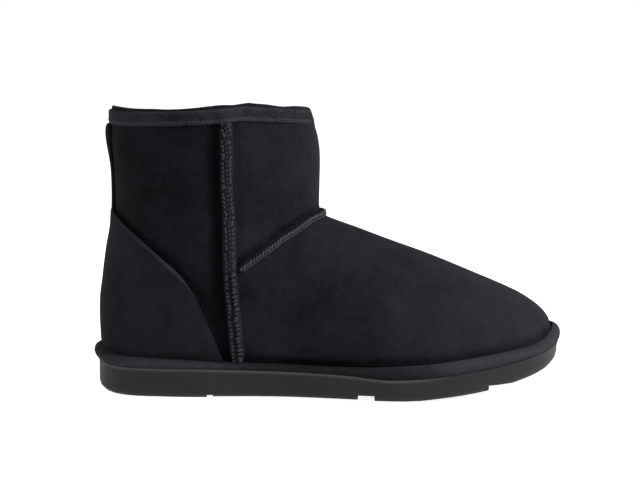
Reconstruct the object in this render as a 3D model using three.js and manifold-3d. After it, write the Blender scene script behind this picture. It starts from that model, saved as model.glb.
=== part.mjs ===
import * as THREE from 'three';
import { mergeVertices } from 'three/addons/utils/BufferGeometryUtils.js';
import Module from 'manifold-3d';

// Sheepskin ankle boot, a right boot standing empty on its sole.
// Millimetres, +Z up, the toe along +X, the outer side of the foot towards -Y.

// Driving dimensions
const BOOT_LENGTH = 290; // over the rand, heel to toe
const BALL_WIDTH = 105; // across the upper at the ball of the foot
const SHAFT_WIDTH = 96; // across the shaft
const SHAFT_SETBACK = 12; // rear line of the shaft, ahead of the rearmost point
const VAMP_LENGTH = 150; // instep crease to toe, along the ground
const HEEL_HEIGHT = 18.3; // sole under the heel
const TOE_LIFT = 10.3; // top of the sole at the toe, above that at the heel
const TOE_SPRING = 17; // underside of the sole at the toe, above the floor
const INSTEP_HEIGHT = 90.2; // instep crease above the heel seat
const SHAFT_HEIGHT = 63; // collar above the instep crease
const WALL = 2.2; // sheepskin hide
const RAND_HEIGHT = 7.8; // twill-covered bead at the ball of the foot
const INSOLE_THICKNESS = 4.5;
const INSOLE_BEVEL = 1;
const COUNTER_THICKNESS = 1.3;
const COUNTER_TIP = 2; // height left where the counter's edge runs out at the rand
const STRIP_WIDTH = 17;
const STRIP_THICKNESS = 1.4;
const BINDING_DEPTH = 8; // each leg of the folded tape
const TAPE_THICKNESS = 1.2;
const SEAM_WIDTH = 7;
const VAMP_SEAM_WIDTH = 4.9;
const SEAM_HEIGHT = 2.2;
const GROOVE_WIDTH = 10; // across the sole, behind the forefoot pad
const GROOVE_DEPTH = 3.8;
const SOLE_EDGE_ROUND = 6;
const SOLE_LIP_HEIGHT = 1.2;
const SOLE_LIP_PROUD = 0.6;
const GAP = 0.3; // clearance between pieces that touch

// How finely the curved surfaces are divided
const COLUMNS = 52;
const SOLE_COLUMNS = 88;
const EDGE_STEPS = 4;
const RAND_STEPS = 4;
const FOOT_ROWS = 2;
const CREASE_ROWS = 4;
const COUNTER_ROWS = 12;
const COUNTER_END_STEPS = 4;
const STRIP_ROWS = 8;
const STRIP_COLUMNS = 5;
const SIDE_SEAM_STEPS = 17;
const VAMP_SEAM_STEPS = 27;

const lerp = THREE.MathUtils.lerp;

// A smooth curve through [place, value] pairs that never overshoots between them.
function smoothCurve(points) {
  const slopes = points.slice(1).map(([x, y], i) => (y - points[i][1]) / (x - points[i][0]));
  const tangents = points.map((point, i) => {
    const before = slopes[Math.max(i - 1, 0)];
    const after = slopes[Math.min(i, slopes.length - 1)];
    return before * after > 0 ? (2 * before * after) / (before + after) : 0;
  });
  return (x) => {
    let i = 0;
    while (i < points.length - 2 && x > points[i + 1][0]) i += 1;
    const step = points[i + 1][0] - points[i][0];
    const s = THREE.MathUtils.clamp((x - points[i][0]) / step, 0, 1);
    const rise = points[i + 1][1] - points[i][1];
    const cubic = s * s * (3 - 2 * s) * rise;
    const lean = step * s * (1 - s) * (tangents[i] * (1 - s) - tangents[i + 1] * s);
    return points[i][1] + cubic + lean;
  };
}

// Top of the sole along the boot: at is a share of BOOT_LENGTH, lift of TOE_LIFT.
const SEAT_PROFILE = [
  { at: 0.0, lift: 0.32 },
  { at: 0.022, lift: 0.13 },
  { at: 0.055, lift: 0.01 },
  { at: 0.12, lift: 0.0 },
  { at: 0.235, lift: -0.01 },
  { at: 0.33, lift: -0.085 },
  { at: 0.5, lift: -0.19 },
  { at: 0.563, lift: -0.285 },
  { at: 0.615, lift: -0.44 },
  { at: 0.686, lift: -0.38 },
  { at: 0.745, lift: -0.23 },
  { at: 0.806, lift: -0.01 },
  { at: 0.846, lift: 0.14 },
  { at: 0.887, lift: 0.36 },
  { at: 0.93, lift: 0.6 },
  { at: 1.0, lift: 1.0 },
];
const seatCurve = smoothCurve(SEAT_PROFILE.map((row) => [row.at, row.lift]));
const seatHeight = (x) => HEEL_HEIGHT + TOE_LIFT * seatCurve(x / BOOT_LENGTH);

// Underside of the sole: at is a share of BOOT_LENGTH, lift of TOE_SPRING.
const TREAD_PROFILE = [
  { at: 0.0, lift: 0.0 },
  { at: 0.66, lift: 0.0 },
  { at: 0.74, lift: 0.1 },
  { at: 0.82, lift: 0.27 },
  { at: 0.9, lift: 0.56 },
  { at: 0.96, lift: 0.8 },
  { at: 1.0, lift: 1.0 },
];
const treadCurve = smoothCurve(TREAD_PROFILE.map((row) => [row.at, row.lift]));
const treadHeight = (x) => TOE_SPRING * treadCurve(x / BOOT_LENGTH);

// The foot's rings from the sole's seat up to the instep crease.
// rearUp is a share of INSTEP_HEIGHT above the heel seat and rearIn of SHAFT_SETBACK; noseUp is
// the share of the way from the toe seat up to the crease and noseIn of VAMP_LENGTH; half-widths
// and the end radii are shares of BALL_WIDTH, and settle is how far the ring follows the seat.
const FOOT_RINGS = [
  { rearUp: 0, rearIn: 0.875, noseUp: 0, noseIn: 0.057, heel: 0.314, waist: 0.333,
    ball: 0.447, toe: 0.4, rearRound: 0.39, noseRound: 0.46, settle: 1 },
  { rearUp: 0.09, rearIn: 0.62, noseUp: 0.07, noseIn: 0.031, heel: 0.352, waist: 0.381,
    ball: 0.49, toe: 0.435, rearRound: 0.43, noseRound: 0.5, settle: 0.9 },
  { rearUp: 0.18, rearIn: 0.53, noseUp: 0.153, noseIn: 0.047, heel: 0.367, waist: 0.41,
    ball: 0.5, toe: 0.415, rearRound: 0.42, noseRound: 0.45, settle: 0.7 },
  { rearUp: 0.296, rearIn: 0.5, noseUp: 0.237, noseIn: 0.083, heel: 0.376, waist: 0.429,
    ball: 0.486, toe: 0.385, rearRound: 0.4, noseRound: 0.4, settle: 0.45 },
  { rearUp: 0.418, rearIn: 0.525, noseUp: 0.3555, noseIn: 0.173, heel: 0.386, waist: 0.443,
    ball: 0.457, toe: 0.352, rearRound: 0.37, noseRound: 0.28, settle: 0.25 },
  { rearUp: 0.545, rearIn: 0.65, noseUp: 0.4885, noseIn: 0.328, heel: 0.4, waist: 0.457,
    ball: 0.433, toe: 0.329, rearRound: 0.35, noseRound: 0.18, settle: 0.1 },
  { rearUp: 0.667, rearIn: 0.77, noseUp: 0.6735, noseIn: 0.567, heel: 0.405, waist: 0.467,
    ball: 0.41, toe: 0.27, rearRound: 0.34, noseRound: 0.13, settle: 0 },
  { rearUp: 0.783, rearIn: 0.9, noseUp: 0.84, noseIn: 0.8, heel: 0.395, waist: 0.467,
    ball: 0.424, toe: 0.276, rearRound: 0.33, noseRound: 0.135, settle: 0 },
  { rearUp: 0.878, rearIn: 1.03, noseUp: 1, noseIn: 1, heel: 0.362, waist: 0.452,
    ball: 0.438, toe: 0.338, rearRound: 0.32, noseRound: 0.3, settle: 0 },
];

// The shaft's rings above the crease: up is a share of SHAFT_HEIGHT, rearIn of SHAFT_SETBACK,
// noseIn of VAMP_LENGTH, and half-widths and end radii are shares of SHAFT_WIDTH.
const SHAFT_RINGS = [
  { up: 0.14, rearIn: 1.12, noseIn: 1.004, heel: 0.385, waist: 0.492, ball: 0.478, toe: 0.37,
    rearRound: 0.36, noseRound: 0.36 },
  { up: 0.4, rearIn: 1.13, noseIn: 1.002, heel: 0.375, waist: 0.49, ball: 0.475, toe: 0.362,
    rearRound: 0.37, noseRound: 0.37 },
  { up: 0.69, rearIn: 1.03, noseIn: 1.006, heel: 0.37, waist: 0.49, ball: 0.475, toe: 0.36,
    rearRound: 0.38, noseRound: 0.37 },
  { up: 1.0, rearIn: 1.02, noseIn: 1.035, heel: 0.37, waist: 0.495, ball: 0.48, toe: 0.36,
    rearRound: 0.39, noseRound: 0.38 },
];

// Where along a ring its four half-widths are given, rear end 0 to nose 1.
const STATIONS = { heel: 0.15, waist: 0.38, ball: 0.65, toe: 0.85 };

// The foot's centre line swings to the inner side at the toe: lean is a share of BALL_WIDTH.
const CENTRE_LINE = [
  { at: 0.0, lean: 0.0 },
  { at: 0.3, lean: 0.0 },
  { at: 0.62, lean: -0.005 },
  { at: 0.82, lean: 0.03 },
  { at: 1.0, lean: 0.12 },
];
const centreCurve = smoothCurve(CENTRE_LINE.map((row) => [row.at, row.lean]));

// The inner side is drawn in under the arch: pinch is a share of the half-width there.
const ARCH = [
  { at: 0.12, pinch: 0.0 },
  { at: 0.4, pinch: 0.1 },
  { at: 0.68, pinch: 0.0 },
];
const archCurve = smoothCurve(ARCH.map((row) => [row.at, row.pinch]));

// The collar's edge, once round from the rear over the outer side: lift is a share of SHAFT_HEIGHT.
const COLLAR_WAVE = [
  { turn: 0.0, lift: 0.0 },
  { turn: 0.12, lift: -0.02 },
  { turn: 0.3, lift: -0.01 },
  { turn: 0.5, lift: 0.0 },
  { turn: 0.73, lift: 0.0 },
  { turn: 0.85, lift: -0.055 },
  { turn: 1.0, lift: 0.0 },
];
const collarWave = smoothCurve(COLLAR_WAVE.map((row) => [row.turn, row.lift]));

// A ring in millimetres: its two ends and a curve of fullness, the half-width that an ellipse
// through the same point would have.
function makeRing(row, unit, rearZ, noseZ, foot) {
  const rearX = row.rearIn * SHAFT_SETBACK;
  const noseX = BOOT_LENGTH - row.noseIn * VAMP_LENGTH;
  const halfLength = (noseX - rearX) / 2;
  const fullness = [row.rearRound, row.noseRound].map((round) => Math.sqrt(round * unit * halfLength));
  Object.entries(STATIONS).forEach(([name, along], i) => {
    fullness.splice(i + 1, 0, (row[name] * unit) / Math.sin(Math.acos(1 - 2 * along)));
  });
  return [rearX, rearZ, noseX, noseZ, row.settle ?? 0, foot, ...fullness];
}

const creaseHeight = HEEL_HEIGHT + INSTEP_HEIGHT;
const rearCreaseHeight = HEEL_HEIGHT + FOOT_RINGS.at(-1).rearUp * INSTEP_HEIGHT;
const collarHeight = creaseHeight + SHAFT_HEIGHT;
const ankleLength = BOOT_LENGTH - VAMP_LENGTH;
const toeSeat = HEEL_HEIGHT + TOE_LIFT;

const rings = [
  ...FOOT_RINGS.map((row, i) => makeRing(row, BALL_WIDTH, HEEL_HEIGHT + row.rearUp * INSTEP_HEIGHT,
    lerp(toeSeat, creaseHeight, row.noseUp), 1 - (i / FOOT_RINGS.length) ** 2)),
  ...SHAFT_RINGS.map((row) => makeRing(row, SHAFT_WIDTH, lerp(rearCreaseHeight, collarHeight, row.up),
    lerp(creaseHeight, collarHeight, row.up), 0)),
];
const TOP = rings.length - 1;
const ringCurves = rings[0].map((value, column) => smoothCurve(rings.map((ring, i) => [i, ring[column]])));

const stationPlaces = [0, ...Object.values(STATIONS), 1];

// A point on one ring. turn runs once round, from the rear centre over the outer side to the
// nose at 0.5 and back over the inner side.
function ringPoint(ring, turn) {
  const [rearX, rearZ, noseX, noseZ, settle, foot, ...fullness] = ring;
  const angle = turn * 2 * Math.PI;
  const along = (1 - Math.cos(angle)) / 2;
  const x = lerp(rearX, noseX, along);
  const pinch = Math.sin(angle) < 0 ? archCurve(along) * foot : 0;
  const half = smoothCurve(stationPlaces.map((place, i) => [place, fullness[i]]))(along);
  const y = centreCurve(along) * BALL_WIDTH * foot - half * Math.sin(angle) * (1 - pinch);
  const dip = seatHeight(x) - lerp(seatHeight(rearX), seatHeight(noseX), along);
  return new THREE.Vector3(x, y, lerp(rearZ, noseZ, along) + settle * dip);
}

// A point on the upper's outer face: rise counts rings from the sole at 0 up to the collar.
function skinPoint(turn, rise) {
  const ring = ringCurves.map((curve) => curve(rise));
  const point = ringPoint(ring, turn);
  const nearCollar = THREE.MathUtils.clamp(rise - TOP + 2, 0, 2) / 2;
  point.z += collarWave(((turn % 1) + 1) % 1) * SHAFT_HEIGHT * nearCollar;
  if (rise === 0) point.z = seatHeight(point.x) + GAP;
  return point;
}

const TINY = 1e-4;

// The directions along the ring and up the wall at a point of the upper, and its outward normal.
function skinFrame(turn, rise) {
  const inside = THREE.MathUtils.clamp(rise, 2 * TINY, TOP - TINY);
  const round = skinPoint(turn + TINY, inside).sub(skinPoint(turn - TINY, inside));
  const up = skinPoint(turn, inside + TINY).sub(skinPoint(turn, inside - TINY));
  [round, up].forEach((direction) => direction.divideScalar(2 * TINY));
  return { round, up, normal: new THREE.Vector3().crossVectors(round, up).normalize() };
}

// A point at a distance off the upper's outer face; minus is into the wall.
function upperPoint(turn, rise, offset = 0) {
  return skinPoint(turn, rise).addScaledVector(skinFrame(turn, rise).normal, offset);
}

// Where a quantity that grows with its argument passes zero.
function solve(grows, low, high) {
  for (let i = 0; i < 40; i += 1) {
    const middle = (low + high) / 2;
    if (grows(middle) > 0) high = middle;
    else low = middle;
  }
  return (low + high) / 2;
}

// The rise at which the wall reaches a height, and the rise that lies some millimetres higher.
const riseAt = (turn, z) => solve((rise) => skinPoint(turn, rise).z - z, 0, TOP);
const riseAbove = (turn, rise, lift) => riseAt(turn, skinPoint(turn, rise).z + lift);

// The place on the upper's outer or inner side that a side view shows at x and z.
function sidePlace(x, z, side) {
  const turnAt = (rise) => {
    const along = (x - ringCurves[0](rise)) / (ringCurves[2](rise) - ringCurves[0](rise));
    const turn = Math.acos(THREE.MathUtils.clamp(1 - 2 * along, -1, 1)) / (2 * Math.PI);
    return side === 'outer' ? turn : 1 - turn;
  };
  const rise = solve((middle) => skinPoint(turnAt(middle), middle).z - z, 0, TOP);
  return { turn: turnAt(rise), rise };
}

// A closed body from sections, each a closed polygon with the same number of corners. A loop of
// sections closes on itself; otherwise both ends are closed corner to opposite corner.
function bodyFromSections(sections, loop) {
  const count = sections[0].length;
  const corners = sections.flat();
  const positions = corners.flatMap((point) => [point.x, point.y, point.z]);
  const faces = [];
  const quad = (a, b, c, d) => {
    const across = corners[a].distanceTo(corners[c]) <= corners[b].distanceTo(corners[d]);
    faces.push(...(across ? [a, b, c, a, c, d] : [a, b, d, b, c, d]));
  };
  const last = loop ? sections.length : sections.length - 1;
  for (let i = 0; i < last; i += 1) {
    const here = i * count;
    const next = ((i + 1) % sections.length) * count;
    for (let j = 0; j < count; j += 1) {
      const k = (j + 1) % count;
      quad(here + j, here + k, next + k, next + j);
    }
  }
  if (!loop) {
    const end = (sections.length - 1) * count;
    for (let j = 0; j < count / 2 - 1; j += 1) {
      const opposite = count - 1 - j;
      quad(opposite, opposite - 1, j + 1, j);
      quad(end + j, end + j + 1, end + opposite - 1, end + opposite);
    }
  }
  const geometry = new THREE.BufferGeometry();
  geometry.setAttribute('position', new THREE.Float32BufferAttribute(positions, 3));
  geometry.setIndex(volumeOf(positions, faces) < 0 ? faces.reverse() : faces);
  return geometry;
}

function volumeOf(positions, faces) {
  const corner = (i) => new THREE.Vector3().fromArray(positions, faces[i] * 3);
  let volume = 0;
  for (let i = 0; i < faces.length; i += 3) {
    volume += corner(i).dot(corner(i + 1).cross(corner(i + 2))) / 6;
  }
  return volume;
}

const range = (count) => Array.from({ length: count }, (unused, i) => i);
const between = (from, to, count) => range(count).map((i) => lerp(from, to, i / (count - 1)));
const roundTurns = (count) => range(count).map((i) => (i + 0.5) / count);

// Plan outlines of sole and rand, as rings like those of the foot.
const SOLE_OUTLINE = { rearIn: 0.25, noseIn: 0.013, heel: 0.388, waist: 0.402, ball: 0.524, toe: 0.476,
  rearRound: 0.52, noseRound: 0.62 };
const RAND_OUTLINE = { rearIn: 0.0, noseIn: 0.0, heel: 0.408, waist: 0.417, ball: 0.535, toe: 0.484,
  rearRound: 0.56, noseRound: 0.68 };
const soleRing = makeRing(SOLE_OUTLINE, BALL_WIDTH, 0, 0, 1);
const randRing = makeRing(RAND_OUTLINE, BALL_WIDTH, 0, 0, 1);

// A point of a plan outline moved out by some millimetres, at height 0.
function outlinePoint(ring, turn, outset) {
  const ahead = ringPoint(ring, turn + TINY);
  const behind = ringPoint(ring, turn - TINY);
  const outward = new THREE.Vector3(ahead.y - behind.y, behind.x - ahead.x, 0).normalize();
  return ringPoint(ring, turn).setZ(0).addScaledVector(outward, outset);
}

const wasm = await Module();
wasm.setup();

// A closed geometry as a solid that can be cut.
function toSolid(geometry) {
  const bare = geometry.clone();
  bare.deleteAttribute('normal');
  bare.deleteAttribute('uv');
  const merged = mergeVertices(bare);
  return new wasm.Manifold(new wasm.Mesh({
    numProp: 3,
    vertProperties: new Float32Array(merged.attributes.position.array),
    triVerts: new Uint32Array(merged.index.array),
  }));
}

function toGeometry(solid) {
  const { vertProperties, triVerts } = solid.getMesh();
  const geometry = new THREE.BufferGeometry();
  geometry.setAttribute('position', new THREE.BufferAttribute(vertProperties, 3));
  geometry.setIndex(new THREE.BufferAttribute(triVerts, 1));
  return geometry;
}

// What the underside loses across its whole width: from and to are shares of BOOT_LENGTH,
// deep a share of GROOVE_DEPTH. Between the pads the waist is raised, and behind and ahead of
// the forefoot pad the sole is cut by a groove and a step.
const UNDERCUTS = [
  { from: 0.246, to: 0.26, deep: 0.55 },
  { from: 0.26, to: 0.56, deep: 0.3 },
  { from: 0.56, to: 0.56 + GROOVE_WIDTH / BOOT_LENGTH, deep: 1.05 },
  { from: 0.83, to: 0.91, deep: 2.4 },
];

// The outsole's wall from its lip down round the bottom edge, less its grooves.
function makeOutsole() {
  const wall = (outset, height) => roundTurns(SOLE_COLUMNS).map((turn) => {
    const point = outlinePoint(soleRing, turn, outset);
    return point.setZ(height(point.x));
  });
  const below = (drop) => (x) => seatHeight(x) - drop;
  const bottomEdge = between(0, Math.PI / 2, EDGE_STEPS).map((angle) => wall(
    -SOLE_EDGE_ROUND * (1 - Math.cos(angle)),
    (x) => treadHeight(x) + SOLE_EDGE_ROUND * (1 - Math.sin(angle)),
  ));
  const body = bodyFromSections([
    wall(SOLE_LIP_PROUD, below(0)),
    wall(SOLE_LIP_PROUD, below(SOLE_LIP_HEIGHT)),
    wall(0, below(SOLE_LIP_HEIGHT + SOLE_LIP_PROUD)),
    ...bottomEdge,
  ], false);
  return toGeometry(UNDERCUTS.reduce((solid, { from, to, deep }) => {
    const depth = deep * GROOVE_DEPTH;
    const cutter = new THREE.BoxGeometry((to - from) * BOOT_LENGTH, 2 * BALL_WIDTH, 2 * depth);
    cutter.translate(((from + to) / 2) * BOOT_LENGTH, 0, 0);
    return solid.subtract(toSolid(cutter));
  }, toSolid(body)));
}

// The upper's wall: up its outer face and down its inner face in each column. Its rows are
// closest together round the crease and widest apart up the shaft.
const CREASE = FOOT_RINGS.length - 1;
function makeUpper() {
  const rises = [
    ...range(FOOT_ROWS * (CREASE - 1)).map((i) => i / FOOT_ROWS),
    ...range(2 * CREASE_ROWS).map((i) => CREASE - 1 + i / CREASE_ROWS),
    ...range(TOP - CREASE).map((i) => CREASE + 1 + i),
  ];
  return bodyFromSections(roundTurns(COLUMNS).map((turn) => {
    const outer = rises.map((rise) => upperPoint(turn, rise));
    const inner = rises.map((rise) => upperPoint(turn, rise, -WALL));
    inner[0].z = outer[0].z;
    inner.at(-1).z = outer.at(-1).z;
    return [...outer, ...inner.reverse()];
  }), true);
}

// The rand is lower along the waist: high is a share of RAND_HEIGHT.
const RAND_PROFILE = [
  { at: 0.0, high: 1.48 },
  { at: 0.022, high: 1.15 },
  { at: 0.06, high: 0.83 },
  { at: 0.15, high: 0.75 },
  { at: 0.23, high: 0.64 },
  { at: 0.33, high: 0.52 },
  { at: 0.5, high: 0.52 },
  { at: 0.56, high: 0.67 },
  { at: 0.64, high: 0.99 },
  { at: 0.73, high: 0.98 },
  { at: 0.85, high: 0.93 },
  { at: 0.93, high: 0.76 },
  { at: 0.97, high: 1.05 },
  { at: 1.0, high: 1.48 },
];
const randCurve = smoothCurve(RAND_PROFILE.map((row) => [row.at, row.high]));
const randHeight = (x) => RAND_HEIGHT * randCurve(x / BOOT_LENGTH);

// The rise at which the upper comes out of the rand.
const randRise = (turn) => {
  const { x } = skinPoint(turn, 1);
  return riseAt(turn, seatHeight(x) + GAP + randHeight(x));
};

// A round bead between the upper's foot and the edge of the sole.
function makeRand() {
  return bodyFromSections(roundTurns(COLUMNS).map((turn) => {
    const foot = upperPoint(turn, 0, 2 * GAP);
    const rise = randRise(turn);
    const inside = [0.75, 0.5, 0.25].map((share) => upperPoint(turn, share * rise, 2 * GAP));
    const top = upperPoint(turn, rise, 1.5 * GAP);
    const bulge = outlinePoint(randRing, turn, 0);
    const base = outlinePoint(soleRing, turn, -SOLE_LIP_PROUD);
    base.z = seatHeight(base.x) + GAP;
    bulge.z = lerp(base.z, top.z, 0.5);
    foot.z = seatHeight(foot.x) + GAP;
    const quarter = (from, to, turnOut, turnUp) => new THREE.Vector3(
      lerp(from.x, to.x, turnOut), lerp(from.y, to.y, turnOut), lerp(from.z, to.z, turnUp),
    );
    const angles = range(RAND_STEPS - 1).map((i) => ((i + 1) * Math.PI) / (2 * RAND_STEPS));
    const upperArc = angles.map((angle) => quarter(top, bulge, Math.sin(angle), 1 - Math.cos(angle)));
    const lowerArc = angles.map((angle) => quarter(bulge, base, 1 - Math.cos(angle), Math.sin(angle)));
    return [foot, base, ...lowerArc.reverse(), bulge, ...upperArc.reverse(), top, ...inside];
  }), true);
}

// A plate that fills the foot of the upper, on the sole.
function makeInsole() {
  const plate = (lift, draw) => roundTurns(COLUMNS).map((turn) => {
    const point = upperPoint(turn, 0, -(WALL + GAP + draw));
    return point.setZ(seatHeight(point.x) + lift);
  });
  return bodyFromSections([
    plate(GAP, 0),
    plate(GAP + INSOLE_THICKNESS - INSOLE_BEVEL, 0),
    plate(GAP + INSOLE_THICKNESS, INSOLE_BEVEL),
  ], false);
}

// Top edge of the heel counter in side view: at is a share of the ankle's length from the heel to
// the instep crease, up of INSTEP_HEIGHT above the heel seat.
const COUNTER_EDGE = [
  { at: 0.089, up: 1.03 },
  { at: 0.179, up: 0.922 },
  { at: 0.267, up: 0.821 },
  { at: 0.349, up: 0.714 },
  { at: 0.417, up: 0.607 },
  { at: 0.484, up: 0.484 },
  { at: 0.53, up: 0.365 },
  { at: 0.559, up: 0.241 },
  { at: 0.57, up: 0.13 },
  { at: 0.575, up: 0.06 },
];
const counterCurve = smoothCurve(COUNTER_EDGE.map((row) => [row.at, row.up]));
const counterTop = (x) => HEEL_HEIGHT + INSTEP_HEIGHT * counterCurve(x / ankleLength);
const counterRise = (turn) => solve((rise) => {
  const point = skinPoint(turn, rise);
  return point.z - counterTop(point.x);
}, 0, TOP);

// A layer laid on the upper between two rises in each of its columns.
function makeOverlay(turns, lowRise, highRise, clearance, thickness, rows) {
  return bodyFromSections(turns.map((turn) => {
    const rises = between(lowRise(turn), highRise(turn), rows);
    const outer = rises.map((rise, i) => upperPoint(turn, rise, clearance + thickness(i / (rows - 1))));
    const inner = rises.map((rise) => upperPoint(turn, rise, clearance));
    return [...outer, ...inner.reverse()];
  }), false);
}

// The counter follows the upper's columns and ends on each side where its edge comes down to
// the rand.
const COUNTER_REACH = 0.25; // the furthest share of the way round that it may end at
function makeHeelCounter() {
  const low = (turn) => riseAbove(turn, randRise(turn), 3 * GAP);
  const tip = (turn) => riseAbove(turn, low(turn), COUNTER_TIP);
  const end = solve((turn) => tip(turn) - counterRise(turn), 0, COUNTER_REACH);
  const inside = roundTurns(COLUMNS).filter((turn) => turn < end - 0.5 / COLUMNS);
  const half = [...inside.slice(0, -1), ...between(inside.at(-1), end, COUNTER_END_STEPS)];
  const turns = [...half.map((turn) => -turn).reverse(), ...half];
  const high = (turn) => Math.max(counterRise(turn), tip(turn));
  return makeOverlay(turns, low, high, 4 * GAP, () => COUNTER_THICKNESS, COUNTER_ROWS);
}

// The folded tape's lower edge, down from the collar.
const bindingRise = (turn) => riseAt(turn, skinPoint(turn, TOP).z - BINDING_DEPTH);

// The strip stands a little off the shaft under the binding: off is a share of STRIP_THICKNESS.
const STRIP_BULGE = [
  { up: 0.0, off: 1.0 },
  { up: 0.45, off: 1.0 },
  { up: 0.62, off: 1.1 },
  { up: 0.85, off: 2.1 },
  { up: 1.0, off: 1.9 },
];
const stripCurve = smoothCurve(STRIP_BULGE.map((row) => [row.up, row.off]));
function makeBackStrip() {
  const end = solve((turn) => -skinPoint(turn, TOP - 2).y - STRIP_WIDTH / 2, 0, 0.2);
  const low = (turn) => riseAbove(turn, counterRise(turn), 2 * GAP);
  const high = (turn) => riseAbove(turn, bindingRise(turn), -2 * GAP);
  const thickness = (up) => STRIP_THICKNESS * stripCurve(up);
  return makeOverlay(between(-end, end, STRIP_COLUMNS), low, high, 1.5 * GAP, thickness, STRIP_ROWS);
}

// Tape folded over the collar: out and over the rim, and down inside.
function makeCollarBinding() {
  const outer = GAP + TAPE_THICKNESS;
  const inner = -WALL - outer;
  return bodyFromSections(roundTurns(COLUMNS).map((turn) => {
    const low = bindingRise(turn);
    const mid = (low + TOP) / 2;
    const over = (offset, lift) => {
      const point = upperPoint(turn, TOP, offset);
      return point.setZ(skinPoint(turn, TOP).z + lift);
    };
    return [
      upperPoint(turn, low, outer),
      upperPoint(turn, mid, outer),
      over(outer, 0),
      over(outer - TAPE_THICKNESS / 2, outer * 0.7),
      over(-WALL / 2, outer),
      over(inner + TAPE_THICKNESS / 2, outer * 0.7),
      over(inner, 0),
      upperPoint(turn, mid, inner),
      upperPoint(turn, low, inner),
      upperPoint(turn, low, -WALL - GAP),
      upperPoint(turn, mid, -WALL - GAP),
      over(-WALL - GAP, GAP),
      over(GAP, GAP),
      upperPoint(turn, mid, GAP),
      upperPoint(turn, low, GAP),
    ];
  }), true);
}

// Section of a raised seam: across is a share of its width, high of SEAM_HEIGHT.
const SEAM_SECTION = [
  { across: -0.5, high: 0.0 },
  { across: -0.5, high: 0.45 },
  { across: -0.28, high: 0.95 },
  { across: 0.28, high: 0.95 },
  { across: 0.5, high: 0.45 },
  { across: 0.5, high: 0.0 },
];

// A raised seam along places on the upper, each with its own width in millimetres.
function makeSeam(places, clearance) {
  const points = places.map(({ turn, rise }) => skinPoint(turn, rise));
  return bodyFromSections(places.map(({ turn, rise, wide }, i) => {
    const ahead = points[Math.min(i + 1, points.length - 1)];
    const behind = points[Math.max(i - 1, 0)];
    const { round, up, normal } = skinFrame(turn, rise);
    const across = new THREE.Vector3().crossVectors(ahead.clone().sub(behind), normal).normalize();
    const [rr, ru, uu] = [round.dot(round), round.dot(up), up.dot(up)];
    const [ar, au] = [across.dot(round), across.dot(up)];
    const span = rr * uu - ru * ru;
    return SEAM_SECTION.map((corner) => {
      const move = corner.across * wide;
      return upperPoint(
        turn + (move * (ar * uu - au * ru)) / span,
        rise + (move * (au * rr - ar * ru)) / span,
        clearance + corner.high * SEAM_HEIGHT,
      );
    });
  }), false);
}

// The side seams, from the rand up to the binding: at is a share of the ankle's length, up the
// share of the way up, and wide a share of SEAM_WIDTH.
const SIDE_SEAM = [
  { up: 0.0, at: 0.646, wide: 1.12 },
  { up: 0.2, at: 0.633, wide: 1.1 },
  { up: 0.4, at: 0.62, wide: 1.08 },
  { up: 0.6, at: 0.616, wide: 1.0 },
  { up: 0.78, at: 0.6065, wide: 0.96 },
  { up: 1.0, at: 0.6065, wide: 0.96 },
];
const seamAt = smoothCurve(SIDE_SEAM.map((row) => [row.up, row.at]));
const seamWide = smoothCurve(SIDE_SEAM.map((row) => [row.up, row.wide]));
function makeSideSeam(side) {
  const place = (up, z) => sidePlace(seamAt(up) * ankleLength, z, side);
  const foot = place(0, HEEL_HEIGHT);
  const low = skinPoint(foot.turn, randRise(foot.turn)).z + 4 * GAP;
  const head = place(1, collarHeight - BINDING_DEPTH);
  const high = skinPoint(head.turn, bindingRise(head.turn)).z - 2 * GAP;
  return makeSeam(between(0, 1, SIDE_SEAM_STEPS).map((up) => ({
    ...place(up, lerp(low, high, up)), wide: seamWide(up) * SEAM_WIDTH,
  })), 1.5 * GAP);
}

// The vamp seam in side view, from the side seam's front edge up to the crease: along is the
// share of the way ahead to the crease, up is a share of INSTEP_HEIGHT above the heel seat.
// Over the front it meets its mirror image.
const VAMP_SEAM = [
  { along: 0.0, up: 0.682 },
  { along: 0.115, up: 0.727 },
  { along: 0.299, up: 0.791 },
  { along: 0.51, up: 0.863 },
  { along: 0.735, up: 0.93 },
  { along: 0.902, up: 0.979 },
];
const VAMP_SEAM_FRONT = 0.996; // share of INSTEP_HEIGHT
const VAMP_SEAM_JOIN = 0.4; // share of the way up the side seam
function makeVampSeam() {
  const widths = seamWide(VAMP_SEAM_JOIN) * SEAM_WIDTH + VAMP_SEAM_WIDTH;
  const join = seamAt(VAMP_SEAM_JOIN) * ankleLength + widths / 2;
  const side = VAMP_SEAM.map(({ along, up }) => (
    sidePlace(lerp(join, ankleLength, along), HEEL_HEIGHT + up * INSTEP_HEIGHT, 'outer')));
  const front = { turn: 0.5, rise: riseAt(0.5, HEEL_HEIGHT + VAMP_SEAM_FRONT * INSTEP_HEIGHT) };
  const vampRise = smoothCurve([...side, front].map(({ turn, rise }) => [turn, rise]));
  const start = side[0].turn;
  const places = between(start, 1 - start, VAMP_SEAM_STEPS).map((turn) => ({
    turn, rise: vampRise(Math.min(turn, 1 - turn)), wide: VAMP_SEAM_WIDTH,
  }));
  return makeSeam(places, 2 * GAP);
}

const RUBBER = { color: 0x2b2c31, roughness: 0.7 };
const SUEDE = { color: 0x2c2d33, roughness: 0.95 };
const TWILL = { color: 0x303138, roughness: 0.9 };
const FELT = { color: 0x24252a, roughness: 1.0 };

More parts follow.
